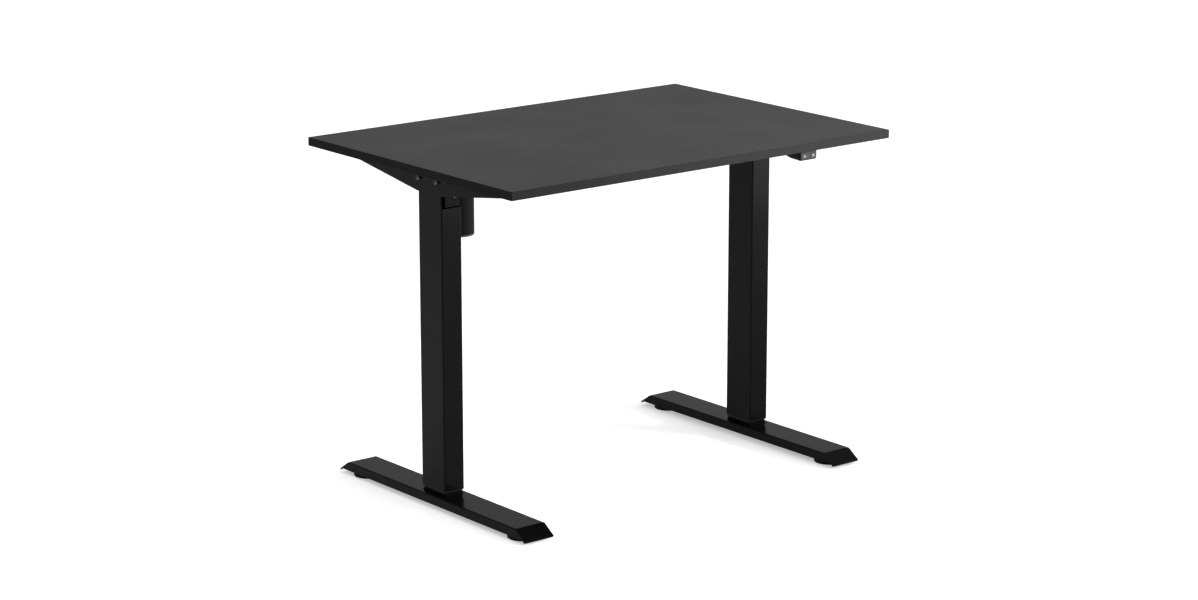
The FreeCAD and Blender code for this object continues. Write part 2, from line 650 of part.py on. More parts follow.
def foot_skin():
    """Top sheet of the foot: a flat strip with a sloping flap at each end."""
    slope = V(0, FOOT_TIP[0] - FOOT_FLAT, FOOT_TIP[1] - FOOT_TOP)
    slope.normalize()
    left = LEG_X - FOOT_WIDTH / 2
    inward = V(0, slope.z, -slope.y) * FOOT_SHEET
    bend = FOOT_SHEET * math.tan(math.atan2(-slope.z, slope.y) / 2)
    outer = [(-FOOT_TIP[0], FOOT_TIP[1]), (-FOOT_FLAT, FOOT_TOP), (FOOT_FLAT, FOOT_TOP), FOOT_TIP]
    tip = (FOOT_TIP[0] + inward.y, FOOT_TIP[1] + inward.z)
    crease = (FOOT_FLAT - bend, FOOT_TOP - FOOT_SHEET)
    inner = [tip, crease, (-crease[0], crease[1]), (-tip[0], tip[1])]
    skin = prism([V(left, y, z) for y, z in outer + inner], X_AXIS * FOOT_WIDTH)
    tip_middle = FOOT_TIP[0] + inward.y / 2
    corners = []
    for edge in skin.Edges:
        at_tip = abs(abs(edge.CenterOfMass.y) - tip_middle) < 0.5
        across_sheet = abs(edge.tangentAt(edge.FirstParameter).x) < 0.01
        if at_tip and across_sheet and edge.Length < FOOT_SHEET + 0.1:
            corners.append(edge)
    return skin.makeFillet(2.5, corners)


def foot_walls():
    """The two upright side walls of the foot."""
    wall_top = FOOT_TOP - 0.5
    half_top = FOOT_FLAT - 0.5
    end_z = FOOT_WALL_BOTTOM + 4
    right_half = [(FOOT_WALL_END, FOOT_WALL_BOTTOM), (FOOT_WALL_END, end_z), (half_top, wall_top)]
    left_half = [(-y, z) for y, z in reversed(right_half)]
    walls = []
    for x in (LEG_X - FOOT_WIDTH / 2, LEG_X + FOOT_WIDTH / 2 - FOOT_SHEET):
        walls.append(prism([V(x, y, z) for y, z in right_half + left_half], X_AXIS * FOOT_SHEET))
    return walls


def foot():
    """Folded sheet channel with two threaded bushes for the levelling glides."""
    body = foot_skin().fuse(foot_walls()).removeSplitter()

    def on_long_edge(p):
        return p.z > FOOT_TOP - 0.1 and abs(abs(p.x - LEG_X) - FOOT_WIDTH / 2) < 0.1

    body = body.makeFillet(FOOT_BEND, edges_along(body, Y_AXIS, on_long_edge))
    for y in (-GLIDE_Y, GLIDE_Y):
        body = body.fuse(rod(8.0, V(LEG_X, y, BUSH_BOTTOM), FOOT_TOP - FOOT_SHEET - BUSH_BOTTOM + 0.5))
        body = body.cut(rod(STUD_RADIUS + 0.08, V(LEG_X, y, BUSH_BOTTOM - 1), 14))
    for x, y in foot_bolt_places():
        body = body.cut(rod(4.3, V(x, y, 20), 20))
    return body


def foot_bolts():
    made = []
    for x, y in foot_bolt_places():
        head = rod(6.5, V(x, y, FOOT_TOP - FOOT_SHEET - 7), 7.0)
        head = head.makeFillet(0.8, [head.Edges[i] for i in lower_rim(head)])
        socket = hexagon(6.0, V(0, 0, 0), 4.0)
        socket.rotate(ORIGIN, Y_AXIS, -90)
        socket.translate(V(x, y, FOOT_TOP - FOOT_SHEET - 7.5))
        made.append(head.cut(socket).fuse(rod(4.0, V(x, y, FOOT_TOP - FOOT_SHEET), 11.5)))
    return Part.makeCompound(made)


def glide_pad(y):
    """Turned plastic disc with a rounded lower rim and a conical top."""
    profile = [
        Part.LineSegment(V(0, 0, 0), V(GLIDE_RADIUS - 2.5, 0, 0)),
        Part.Arc(
            V(GLIDE_RADIUS - 2.5, 0, 0), V(GLIDE_RADIUS - 0.73, 0, 0.73), V(GLIDE_RADIUS, 0, 2.5)
        ),
        Part.LineSegment(V(GLIDE_RADIUS, 0, 2.5), V(GLIDE_RADIUS - 1.2, 0, 8.6)),
        Part.LineSegment(V(GLIDE_RADIUS - 1.2, 0, 8.6), V(9, 0, GLIDE_HEIGHT)),
        Part.LineSegment(V(9, 0, GLIDE_HEIGHT), V(0, 0, GLIDE_HEIGHT)),
        Part.LineSegment(V(0, 0, GLIDE_HEIGHT), V(0, 0, 0)),
    ]
    body = Part.Face(Part.Wire([piece.toShape() for piece in profile])).revolve(ORIGIN, Z_AXIS, 360)
    body = Part.Solid(body.Shells[0]) if not body.Solids else body.Solids[0]
    body = body.cut(rod(STUD_RADIUS + 0.02, V(0, 0, 5), 10))
    body.translate(V(LEG_X, y, 0))
    return body


def glide_stud(y):
    """Threaded stud, drawn at its outside diameter, with a hexagon to turn it."""
    nut = hexagon(13.0, V(0, 0, 0), 1.7)
    nut.rotate(ORIGIN, Y_AXIS, -90)
    nut.translate(V(0, 0, GLIDE_HEIGHT))
    body = rod(STUD_RADIUS, V(0, 0, 5), 21.5).fuse(nut)
    body.translate(V(LEG_X, y, 0))
    return body


# ---- handset -----------------------------------------------------------------------------
def handset_profile(x, inset):
    """Side outline of the handset: upright front, rounded belly, tapered back."""
    top, low = UNDERSIDE, UNDERSIDE - HANDSET_DEPTH + inset
    front, back = HANDSET_FRONT + inset, HANDSET_BACK - inset
    belly = V(x, front + 28, low + 1.5)
    tail = Part.BezierCurve()
    tail.setPoles([belly, V(x, back - 8, low + 3), V(x, back, top - 6), V(x, back, top)])
    edges = [
        Part.LineSegment(V(x, front, top), V(x, front, low + 3)),
        Part.Arc(V(x, front, low + 3), V(x, front + 0.9, low + 0.9), V(x, front + 3, low)),
        Part.LineSegment(V(x, front + 3, low), belly),
        tail,
        Part.LineSegment(V(x, back, top), V(x, front, top)),
    ]
    return Part.Face(Part.Wire([piece.toShape() for piece in edges]))


def handset_shell():
    """Moulded shell, open at the top and at the front, with a screwed tongue at the back."""
    x0, x1 = HANDSET_X
    body = handset_profile(x0, 0).extrude(X_AXIS * (x1 - x0))
    belly_edges = []
    for edge in body.Edges:
        p = edge.CenterOfMass
        on_side = min(abs(p.x - x0), abs(p.x - x1)) < 0.1
        if on_side and p.z < UNDERSIDE - 3 and p.y > HANDSET_FRONT + 0.5:
            belly_edges.append(edge)
    body = body.makeFillet(4.5, belly_edges)
    hollow = handset_profile(x0 + 2, 2).extrude(X_AXIS * (x1 - x0 - 4))
    hollow.translate(V(0, 0, 1))
    window_back = HANDSET_FRONT + BUTTON_REAR + BUTTON_TRAVEL + 2.2
    window = block(
        (x0 + HANDSET_WALL, x1 - HANDSET_WALL),
        (HANDSET_FRONT - 1, window_back),
        (UNDERSIDE - HANDSET_DEPTH + HANDSET_WALL, UNDERSIDE - 1.5),
    )
    body = body.cut([hollow, window])
    middle = (x0 + x1) / 2
    tongue_y = (HANDSET_BACK - 4, HANDSET_BACK + 22)
    tongue = block((middle - 16, middle + 16), tongue_y, (UNDERSIDE - LID_THICKNESS, UNDERSIDE))
    lead_y = (HANDSET_BACK - 10, HANDSET_BACK + 5)
    lead_exit = block((middle - 5, middle + 5), lead_y, (UNDERSIDE - 10, UNDERSIDE - 4))
    body = body.fuse(tongue).cut(lead_exit)
    for x, y in wood_screw_places()[-2:]:
        body = body.cut(rod(WOOD_SCREW_RADIUS + BOLT_CLEARANCE, V(x, y, UNDERSIDE - 5), 10))
    return body


def button_places():
    middle = sum(HANDSET_X) / 2
    z = UNDERSIDE - HANDSET_DEPTH / 2
    return [(middle - BUTTON_SPACING / 2, z), (middle + BUTTON_SPACING / 2, z)]


def handset_face():
    """Face plate that fills the shell's front window, with two button openings."""
    x0, x1 = HANDSET_X
    inset = HANDSET_WALL + 0.1
    z_range = (UNDERSIDE - HANDSET_DEPTH + inset, UNDERSIDE - 1.6)
    face = block((x0 + inset, x1 - inset), (HANDSET_FRONT - 0.4, HANDSET_FRONT + 1.8), z_range)
    face = face.makeFillet(1.5, edges_along(face, Y_AXIS, lambda p: p.z < UNDERSIDE - 10))
    half_w, half_h = BUTTON_SIZE[0] / 2 + 0.25, BUTTON_SIZE[1] / 2 + 0.25
    through = (HANDSET_FRONT - 2, HANDSET_FRONT + 4)
    for x, z in button_places():
        face = face.cut(block((x - half_w, x + half_w), through, (z - half_h, z + half_h)))
    return face


def button(place):
    """Rectangular key with a rounded front and a stop flange behind the face plate."""
    x, z = place
    half_w, half_h = BUTTON_SIZE[0] / 2, BUTTON_SIZE[1] / 2
    rear = HANDSET_FRONT + BUTTON_REAR
    cap = block((x - half_w, x + half_w), (HANDSET_FRONT - 1.2, rear), (z - half_h, z + half_h))
    cap = cap.makeFillet(1.6, edges_along(cap, Y_AXIS, lambda p: True))
    front = [e for e in cap.Edges if e.CenterOfMass.y < HANDSET_FRONT - 1.1]
    cap = cap.makeFillet(0.5, front)
    stop_x = (x - half_w - 0.9, x + half_w + 0.9)
    stop_z = (z - half_h - 0.8, z + half_h + 0.8)
    return cap.fuse(block(stop_x, (rear - 1.0, rear), stop_z))


def handset_board():
    """Circuit board behind the buttons, with one push switch under each."""
    x0, x1 = HANDSET_X
    middle = UNDERSIDE - HANDSET_DEPTH / 2
    plunger = HANDSET_FRONT + BUTTON_REAR + BUTTON_TRAVEL + 0.1
    switch_y = (plunger + 0.7, plunger + 3.7)
    board_y = (plunger + 3.6, plunger + 5.2)
    board = block((x0 + 4, x1 - 4), board_y, (middle - 5.5, middle + 5.5))
    for x, z in button_places():
        board = board.fuse(block((x - 3, x + 3), switch_y, (z - 3, z + 3)))
        board = board.fuse(rod(1.4, V(x, plunger, z), 1.0, Y_AXIS))
    return board


# ---- control box -------------------------------------------------------------------------
def socket_places():
    """Y middle, width and height of the mains, motor and handset sockets."""
    middle = sum(BOX_Y) / 2
    return [(middle - 20, 26.0, 17.0), (middle + 8, 16.0, 11.0), (middle + 27, 12.0, 11.0)]


def socket_block(place, x_range, inset):
    """Block over one socket's outline, made smaller all round by the inset."""
    y, width, height = place
    half_w, half_h = width / 2 - inset, height / 2 - inset
    return block(x_range, (y - half_w, y + half_w), (SOCKET_Z - half_h, SOCKET_Z + half_h))


def control_box_base():
    """Moulded tray with openings for the sockets and air slots at the back."""
    body = block(BOX_X, BOX_Y, (BOX_BOTTOM, UNDERSIDE - LID_THICKNESS))
    rims = edges_along(body, Z_AXIS, lambda p: True)
    body = body.makeFillet(4.0, rims)
    low = [e for e in body.Edges if e.BoundBox.ZMax < BOX_BOTTOM + 0.01]
    body = body.makeFillet(2.0, low)
    inside_x = (BOX_X[0] + BOX_WALL, BOX_X[1] - BOX_WALL)
    inside_y = (BOX_Y[0] + BOX_WALL, BOX_Y[1] - BOX_WALL)
    body = body.cut(block(inside_x, inside_y, (BOX_BOTTOM + BOX_WALL, UNDERSIDE)))
    for place in socket_places():
        body = body.cut(socket_block(place, (BOX_X[0] - 1, BOX_X[0] + 4), -0.1))
    for i in range(7):
        x = BOX_X[0] + 60 + 12 * i
        slot = block((x, x + 4), (BOX_Y[1] - 4, BOX_Y[1] + 1), (BOX_BOTTOM + 8, BOX_BOTTOM + 20))
        body = body.cut(slot)
    return body


def control_box_cover():
    """Lid against the desktop, with a screwed ear at each end."""
    plate = block((BOX_X[0] - 15, BOX_X[1] + 15), BOX_Y, (UNDERSIDE - LID_THICKNESS, UNDERSIDE))
    plate = plate.makeFillet(5.0, edges_along(plate, Z_AXIS, lambda p: True))
    for x, y in wood_screw_places()[:4]:
        plate = plate.cut(rod(WOOD_SCREW_RADIUS + BOLT_CLEARANCE, V(x, y, UNDERSIDE - 5), 10))
    return plate


def control_box_sockets():
    """Open shells with two contact pins each."""
    made = []
    for place in socket_places():
        shell = socket_block(place, (BOX_X[0], BOX_X[0] + 14), 0.0)
        shell = shell.cut(socket_block(place, (BOX_X[0] - 1, BOX_X[0] + 12), SOCKET_WALL))
        y, width = place[:2]
        for pin in (-1, 1):
            start = V(BOX_X[0] + 2, y + pin * width / 5, SOCKET_Z)
            shell = shell.fuse(rod(0.8, start, 11, X_AXIS))
        made.append(shell)
    return Part.makeCompound(made)


def control_board():
    """Circuit board with the power supply's transformer, capacitors and relays."""
    z = BOX_BOTTOM + 4.5
    low_y, high_y = BOX_Y[0] + 5, BOX_Y[1] - 5
    board = block((BOX_X[0] + 17, BOX_X[1] - 5), (low_y, high_y), (z, z + 1.6))
    board = board.fuse(block((BOX_X[0] + 60, BOX_X[0] + 95), (low_y + 5, low_y + 40), (z + 1, z + 19)))
    for i in range(3):
        board = board.fuse(rod(6.0, V(BOX_X[0] + 112, low_y + 12 + 18 * i, z + 1), 17))
    for i in range(2):
        x = BOX_X[0] + 130 + 22 * i
        board = board.fuse(block((x, x + 16), (high_y - 22, high_y - 6), (z + 1, z + 15)))
    return board


# ---- write every piece -------------------------------------------------------------------
def main():
    os.makedirs("parts", exist_ok=True)
    singles = {
        "desktop_board": desktop_board,
        "edge_banding": edge_banding,
        "damping_pads": damping_pads,
        "desktop_screws": desktop_screws,
        "small_wood_screws": small_wood_screws,
        "bracket_bolts": bracket_bolts,
        "crossbeam_sleeve": crossbeam_sleeve,
        "crossbeam_screws": crossbeam_screws,
        "bearing_lock_screws": bearing_lock_screws,
        "shaft_bearings": shaft_bearings,
        "spindle_bearings": spindle_bearings,
        "hex_shaft": hex_shaft,
        "worm_wheel": worm_wheel,
        "motor_armature": motor_armature,
        "motor_gearbox": motor_gearbox,
        "motor_can": motor_can,
        "motor_end_cap": motor_end_cap,
        "handset_shell": handset_shell,
        "handset_face": handset_face,
        "handset_board": handset_board,
        "control_box_base": control_box_base,
        "control_box_cover": control_box_cover,
        "control_box_sockets": control_box_sockets,
        "control_board": control_board,
    }
    pairs = {
        "side_bracket": side_bracket,
        "crossbeam_end": crossbeam_end,
        "outer_tube": outer_tube,
        "guide_sleeve": guide_sleeve,
        "gear_housing": gear_housing,
        "spindle_bevel": spindle_bevel,
        "bevel_pinion": bevel_pinion,
        "spindle": spindle,
        "inner_tube": inner_tube,
        "spindle_nut": spindle_nut,
        "slide_pads": slide_pads,
        "foot": foot,
        "foot_bolts": foot_bolts,
    }
    for name, make in singles.items():
        save(name, make())
    for name, make in pairs.items():
        save_pair(name, make())
    for place, y in (("front", -GLIDE_Y), ("back", GLIDE_Y)):
        save_pair(place + "_glide_pad", glide_pad(y))
        save_pair(place + "_glide_stud", glide_stud(y))
    for name, place in zip(("up_button", "down_button"), button_places()):
        save(name, button(place))


main()
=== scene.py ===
# %% [markdown]
# # A height adjustable standing desk, dressed for a studio view
#
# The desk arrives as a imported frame: sixty steel, wood and plastic pieces that already have
# their true size and place, and the bodies on which they move. This lesson gives every piece
# its finish, replaces a few plain pieces by finely shaped ones, and sets up floor, light and
# camera. All lengths are in metres: +X is to the right of a person at the desk, +Y is the
# back and +Z is up.

import math

import bpy
import numpy as np
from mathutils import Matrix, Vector


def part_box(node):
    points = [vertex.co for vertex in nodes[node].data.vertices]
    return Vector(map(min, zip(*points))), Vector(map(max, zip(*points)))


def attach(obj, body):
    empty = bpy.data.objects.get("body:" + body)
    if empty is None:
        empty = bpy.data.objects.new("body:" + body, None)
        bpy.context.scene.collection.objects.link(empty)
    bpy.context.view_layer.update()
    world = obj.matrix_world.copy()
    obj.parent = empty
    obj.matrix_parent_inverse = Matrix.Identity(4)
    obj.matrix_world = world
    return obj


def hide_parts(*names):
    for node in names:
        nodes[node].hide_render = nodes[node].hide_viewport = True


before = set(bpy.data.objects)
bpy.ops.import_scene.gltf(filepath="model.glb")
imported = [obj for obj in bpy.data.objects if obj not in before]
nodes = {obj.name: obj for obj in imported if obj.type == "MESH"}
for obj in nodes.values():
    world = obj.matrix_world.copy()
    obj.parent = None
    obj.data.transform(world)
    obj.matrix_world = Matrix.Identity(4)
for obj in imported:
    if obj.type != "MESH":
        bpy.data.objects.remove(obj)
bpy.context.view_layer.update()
print("pieces from the frame:", len(nodes))

# %% [markdown]
# ## How a finish is put together
#
# A finish is a node tree that ends in one shader. It could be painted as a picture, but a
# picture blurs up close and has to be laid out on every piece. Here each finish is worked out
# from the place on the piece instead, so it is sharp at any distance. The tools below are small:
# start a tree, make a cloudy pattern, spread a pattern between two numbers, blend two colours
# with it, and press it into the surface as a fine relief.

# %% Start a finish
def start_finish(name, roughness, shine, metal=0.0):
    """A new node material with its shader; numbers that never vary sit on the shader itself."""
    material = bpy.data.materials.new(name)
    material.use_nodes = True
    tree = material.node_tree
    shader = tree.nodes["Principled BSDF"]
    shader.inputs["Roughness"].default_value = roughness
    shader.inputs["Specular IOR Level"].default_value = shine
    shader.inputs["Metallic"].default_value = metal
    return material, tree, shader


# %% Patterns worked out from the place on a piece
def place_on_piece(tree, stretch=(1.0, 1.0, 1.0)):
    """Object coordinates, each axis multiplied by its own stretch."""
    place = tree.nodes.new("ShaderNodeTexCoord").outputs["Object"]
    mapping = tree.nodes.new("ShaderNodeMapping")
    mapping.inputs["Scale"].default_value = stretch
    tree.links.new(place, mapping.inputs["Vector"])
    return mapping.outputs["Vector"]


def cloud(tree, place, per_metre, octaves=2.0):
    """Cloudy pattern from 0 to 1 with so many patches to the metre."""
    noise = tree.nodes.new("ShaderNodeTexNoise")
    noise.inputs["Scale"].default_value = per_metre
    noise.inputs["Detail"].default_value = octaves
    tree.links.new(place, noise.inputs["Vector"])
    return noise.outputs["Fac"]


def pebbles(tree, place, per_metre):
    """Distance to the nearest of many scattered points: small round cells."""
    cells = tree.nodes.new("ShaderNodeTexVoronoi")
    cells.inputs["Scale"].default_value = per_metre
    tree.links.new(place, cells.inputs["Vector"])
    return cells.outputs["Distance"]


# %% Put a pattern to work
def spread(tree, pattern, low, high, start=0.3, end=0.7):
    """Map the pattern's values between start and end to numbers between low and high."""
    step = tree.nodes.new("ShaderNodeMapRange")
    step.inputs["From Min"].default_value = start
    step.inputs["From Max"].default_value = end
    step.inputs["To Min"].default_value = low
    step.inputs["To Max"].default_value = high
    tree.links.new(pattern, step.inputs["Value"])
    return step.outputs["Result"]


def blend_colours(tree, share, first, second):
    """Colour that goes from the first to the second as the share goes from 0 to 1."""
    mix = tree.nodes.new("ShaderNodeMix")
    mix.data_type = "RGBA"
    tree.links.new(share, mix.inputs["Factor"])
    for socket, colour in ((mix.inputs["A"], first), (mix.inputs["B"], second)):
        if isinstance(colour, bpy.types.NodeSocket):
            tree.links.new(colour, socket)
        else:
            socket.default_value = (*colour, 1.0)
    return mix.outputs["Result"]


def add_up(tree, first, second, weight):
    """first + weight * second."""
    sum_node = tree.nodes.new("ShaderNodeMath")
    sum_node.operation = "MULTIPLY_ADD"
    sum_node.inputs[1].default_value = weight
    tree.links.new(second, sum_node.inputs[0])
    tree.links.new(first, sum_node.inputs[2])
    return sum_node.outputs["Value"]


def press_relief(tree, shader, height, depth):
    """Tilt the surface as if the pattern stood up by that depth, in metres."""
    bump = tree.nodes.new("ShaderNodeBump")
    bump.inputs["Distance"].default_value = depth
    tree.links.new(height, bump.inputs["Height"])
    tree.links.new(bump.outputs["Normal"], shader.inputs["Normal"])


def grey(value):
    """Neutral colour of that brightness."""
    return (value, value, value)


finishes = {}

# %% [markdown]
# ## Coated steel
#
# Legs, feet, brackets and crossbeam are folded sheet with black powder coat. Powder melts into
# a skin that looks smooth from afar and like fine orange peel up close, about a millimetre from
# hill to hill, and it is a touch shinier in some broad patches than in others. So one fine
# cloud makes the relief and a coarse one moves the roughness. The same recipe, with other
# numbers, gives the motor's paint and the coated castings.

# %% One recipe for all black coatings
GLOSS_PATCHES = 9.0          # patches of more or less gloss to the metre
DUST_SPECKS = 2600.0         # specks to the metre
DUSTY_FROM_TO = (0.68, 0.8)  # only the peaks of the speck pattern show
PATCH_TONE = 1.25            # how much lighter a patch gets
SPECK_RELIEF = 0.25          # height of a speck against a hill of the peel


def coated(name, colour, roughness, shine, peel_per_metre, peel_depth, speckle):
    """Black coating: peel relief, broad changes of gloss, and dust-fine lighter specks."""
    material, tree, shader = start_finish(name, roughness[0], shine)
    place = place_on_piece(tree)
    broad = cloud(tree, place, GLOSS_PATCHES, octaves=3.0)
    peel = cloud(tree, place, peel_per_metre, octaves=2.0)
    specks = cloud(tree, place, DUST_SPECKS, octaves=1.0)
    tree.links.new(spread(tree, broad, *roughness), shader.inputs["Roughness"])
    patches = spread(tree, broad, 0.0, 1.0)
    base = blend_colours(tree, patches, grey(colour), grey(colour * PATCH_TONE))
    dusty = spread(tree, specks, 0.0, 1.0, *DUSTY_FROM_TO)
    tree.links.new(blend_colours(tree, dusty, base, grey(speckle)), shader.inputs["Base Color"])
    press_relief(tree, shader, add_up(tree, peel, specks, SPECK_RELIEF), peel_depth)
    return material


# %% Powder coat, motor paint and coated castings
coatings = {
    # slot: grey, (least, most) roughness, shine, peel to the metre, peel depth, grey of specks
    "black_powder_coat": (0.0014, (0.15, 0.22), 0.046, 620.0, 0.00002, 0.01),
    "motor_paint": (0.003, (0.28, 0.4), 0.012, 260.0, 0.0003, 0.008),
    "black_casting": (0.002, (0.38, 0.5), 0.03, 900.0, 0.00012, 0.01),
}
for slot_name, numbers in coatings.items():
    finishes[slot_name] = coated(slot_name + "_finish", *numbers)
print("coated finishes:", sorted(finishes))

# %% [markdown]
# ## Desktop
#
# The desktop is chipboard with a matt anthracite melamine skin. Its surface has a very fine
# pearl texture, and its grey changes a little over a hand's width. The strip glued round its
# edge is smoother and drawn along the edge, so its pattern is stretched lengthwise.

# %% Laminate
def laminate(name):
    """Matt grey skin: slow changes of grey, finer flecks, and a pearl relief."""
    material, tree, shader = start_finish(name, roughness=0.5, shine=0.07)
    place = place_on_piece(tree)
    broad = cloud(tree, place, per_metre=5.0, octaves=3.0)
    pearl = cloud(tree, place, per_metre=1500.0, octaves=2.0)
    flecks = cloud(tree, place, per_metre=420.0, octaves=3.0)
    base = blend_colours(tree, spread(tree, broad, 0.0, 1.0), grey(0.028), grey(0.03))
    fine = spread(tree, flecks, 0.0, 0.5, 0.35, 0.75)
    tree.links.new(blend_colours(tree, fine, base, grey(0.034)), shader.inputs["Base Color"])
    tree.links.new(spread(tree, broad, 0.46, 0.54), shader.inputs["Roughness"])
    press_relief(tree, shader, pearl, depth=0.00003)
    return material


# %% Edge strip
def edge_strip(name):
    """Satin strip: streaks that run along the edge, nine times as long as high, and fine grain."""
    material, tree, shader = start_finish(name, roughness=0.4, shine=0.012)
    lengthwise = place_on_piece(tree, stretch=(1.0, 1.0, 9.0))
    drawn = cloud(tree, lengthwise, per_metre=120.0, octaves=3.0)
    fine = cloud(tree, place_on_piece(tree), per_metre=1900.0, octaves=1.0)
    colour = blend_colours(tree, spread(tree, drawn, 0.0, 1.0), grey(0.007), grey(0.0088))
    tree.links.new(colour, shader.inputs["Base Color"])
    tree.links.new(spread(tree, drawn, 0.36, 0.46), shader.inputs["Roughness"])
    press_relief(tree, shader, add_up(tree, drawn, fine, weight=0.3), depth=0.00003)
    return material


finishes["top_laminate"] = laminate("anthracite_laminate")
finishes["edge_strip"] = edge_strip("black_edge_strip")
print("finishes so far:", sorted(finishes))

# %% [markdown]
# ## Bare metals
#
# Most screws are zinc plated: pale, a little blue, with faint cloudy patches. The ones on the
# brackets are blackened instead. Shaft, spindles and gears are bright steel with fine marks from
# the lathe, the bearings are ground and the worm wheel is bronze. One recipe does all of them:
# colour blended between two tones, and marks that are clouds squeezed hard along the axis of the
# lathe.

# %% One recipe for bare metal
def bare_metal(name, dark, light, roughness, marks, marks_depth):
    """Metal with cloudy tones and fine marks; marks holds the stretch along X, Y and Z."""
    material, tree, shader = start_finish(name, roughness[0], shine=0.5, metal=1.0)
    patches = cloud(tree, place_on_piece(tree), per_metre=160.0, octaves=3.0)
    turned = cloud(tree, place_on_piece(tree, marks), per_metre=220.0, octaves=2.0)
    tone = blend_colours(tree, spread(tree, patches, 0.0, 1.0), dark, light)
    tree.links.new(tone, shader.inputs["Base Color"])
    both = add_up(tree, patches, turned, 1.0)
    tree.links.new(spread(tree, both, *roughness, 0.6, 1.4), shader.inputs["Roughness"])
    press_relief(tree, shader, turned, marks_depth)
    return material


# %% Zinc, black oxide, steel and bronze
zinc_dark = (0.42, 0.44, 0.47)
zinc_light = (0.62, 0.63, 0.65)
oxide_dark = (0.07, 0.07, 0.072)
oxide_light = (0.1, 0.1, 0.103)
turned_dark = (0.38, 0.37, 0.36)
turned_light = (0.58, 0.57, 0.56)
ground_dark = (0.6, 0.6, 0.62)
ground_light = (0.72, 0.72, 0.73)
bronze_dark = (0.5, 0.3, 0.13)
bronze_light = (0.66, 0.43, 0.2)
metals = {
    # slot: finish, dark tone, light tone, (least, most) roughness, stretch of marks, their depth
    "zinc_bolt": ("zinc_plated_bolts", zinc_dark, zinc_light, (0.28, 0.45), (1, 1, 1), 0.00003),
    "black_bolt": ("black_oxide_bolts", oxide_dark, oxide_light, (0.16, 0.26), (1, 1, 1), 0.00001),
    "zinc_screw": ("zinc_plated_screws", zinc_dark, zinc_light, (0.24, 0.4), (1, 1, 3), 0.00002),
    "bright_steel": ("turned_steel", turned_dark, turned_light, (0.2, 0.38), (12, 1, 12), 0.00002),
    "bearing_steel": ("ground_steel", ground_dark, ground_light, (0.1, 0.22), (3, 3, 3), 0.00001),
    "bronze": ("gear_bronze", bronze_dark, bronze_light, (0.25, 0.42), (9, 1, 1), 0.00002),
}
for slot_name, (finish_name, *numbers) in metals.items():
    finishes[slot_name] = bare_metal(finish_name, *numbers)
print("metal finishes:", len(metals))

# %% [markdown]
# ## Plastics and rubber
#
# Moulded plastic copies the texture of its mould. Housings have a spark-eroded grain of tiny
# round pits, sliding parts are smooth, and rubber is dull with a dusty bloom. The recipe takes
# the size and depth of the pits, and blends in a slightly paler bloom.

# %% One recipe for moulded pieces
def moulded(name, colour, bloom, roughness, shine, pits_per_metre, pits_depth):
    """Plastic: base colour with a paler bloom, pitted relief and a little change of gloss."""
    material, tree, shader = start_finish(name, roughness[0], shine)
    place = place_on_piece(tree)
    haze = cloud(tree, place, per_metre=38.0, octaves=3.0)
    pits = pebbles(tree, place, pits_per_metre)
    tone = blend_colours(tree, spread(tree, haze, 0.0, 1.0), colour, bloom)
    tree.links.new(tone, shader.inputs["Base Color"])
    tree.links.new(spread(tree, haze, *roughness), shader.inputs["Roughness"])
    press_relief(tree, shader, pits, pits_depth)
    return material


# %% Plastics, rubber and printing ink
plastics = {
    # slot: grey, bloom, (least, most) roughness, shine, pits to the metre, depth of the pits
    "sliding_plastic": (grey(0.006), grey(0.009), (0.28, 0.36), 0.08, 900.0, 0.00002),
    "nut_plastic": ((0.68, 0.66, 0.6), (0.74, 0.73, 0.68), (0.3, 0.4), 0.45, 700.0, 0.00002),
    "glide_plastic": (grey(0.004), grey(0.006), (0.38, 0.5), 0.04, 1400.0, 0.00006),
    "black_plastic": (grey(0.011), grey(0.015), (0.42, 0.55), 0.3, 1500.0, 0.00007),
    "socket_plastic": (grey(0.2), grey(0.24), (0.32, 0.42), 0.4, 1200.0, 0.00003),
    "handset_plastic": (grey(0.004), grey(0.006), (0.4, 0.5), 0.06, 1600.0, 0.00005),
    "handset_face": (grey(0.012), grey(0.0145), (0.26, 0.36), 0.06, 1800.0, 0.00002),
    "button_plastic": (grey(0.016), grey(0.018), (0.36, 0.46), 0.06, 1700.0, 0.00003),
    "rubber_pad": (grey(0.012), grey(0.022), (0.62, 0.75), 0.2, 1100.0, 0.00008),
}
for slot_name, numbers in plastics.items():
    finishes[slot_name] = moulded(slot_name + "_moulding", *numbers)
finishes["arrow_print"] = moulded(
    "arrow_print_ink", grey(0.07), grey(0.085), (0.4, 0.5), 0.4, 2500.0, 0.00001
)
print("plastic finishes:", len(plastics) + 1)

# %% [markdown]
# ## Circuit boards
#
# The boards in the handset and the control box are green with slightly raised copper tracks
# under the lacquer. A pattern of square cells gives tracks that run straight along and across.

# %% Green board
def board_lacquer(name):
    """Green lacquer: the rims of square cells, 260 to the metre, stand up as lighter tracks."""
    material, tree, shader = start_finish(name, roughness=0.3, shine=0.5)
    cells = tree.nodes.new("ShaderNodeTexVoronoi")
    cells.distance = "CHEBYCHEV"
    cells.feature = "F1"
    cells.inputs["Scale"].default_value = 260.0
    tree.links.new(place_on_piece(tree), cells.inputs["Vector"])
    tracks = spread(tree, cells.outputs["Distance"], 0.0, 1.0, 0.32, 0.36)
    colour = blend_colours(tree, tracks, (0.01, 0.11, 0.035), (0.03, 0.2, 0.06))
    tree.links.new(colour, shader.inputs["Base Color"])
    press_relief(tree, shader, tracks, depth=0.00003)
    return material


finishes["circuit_board"] = board_lacquer("green_board_lacquer")
print("all finishes:", len(finishes))

# %% [markdown]
# ## Dress the pieces of the frame
#
# Each piece of the frame already knows which finish it wants: its slot carries the name from
# the parts record. So one loop dresses all of them, and no piece can be forgotten.

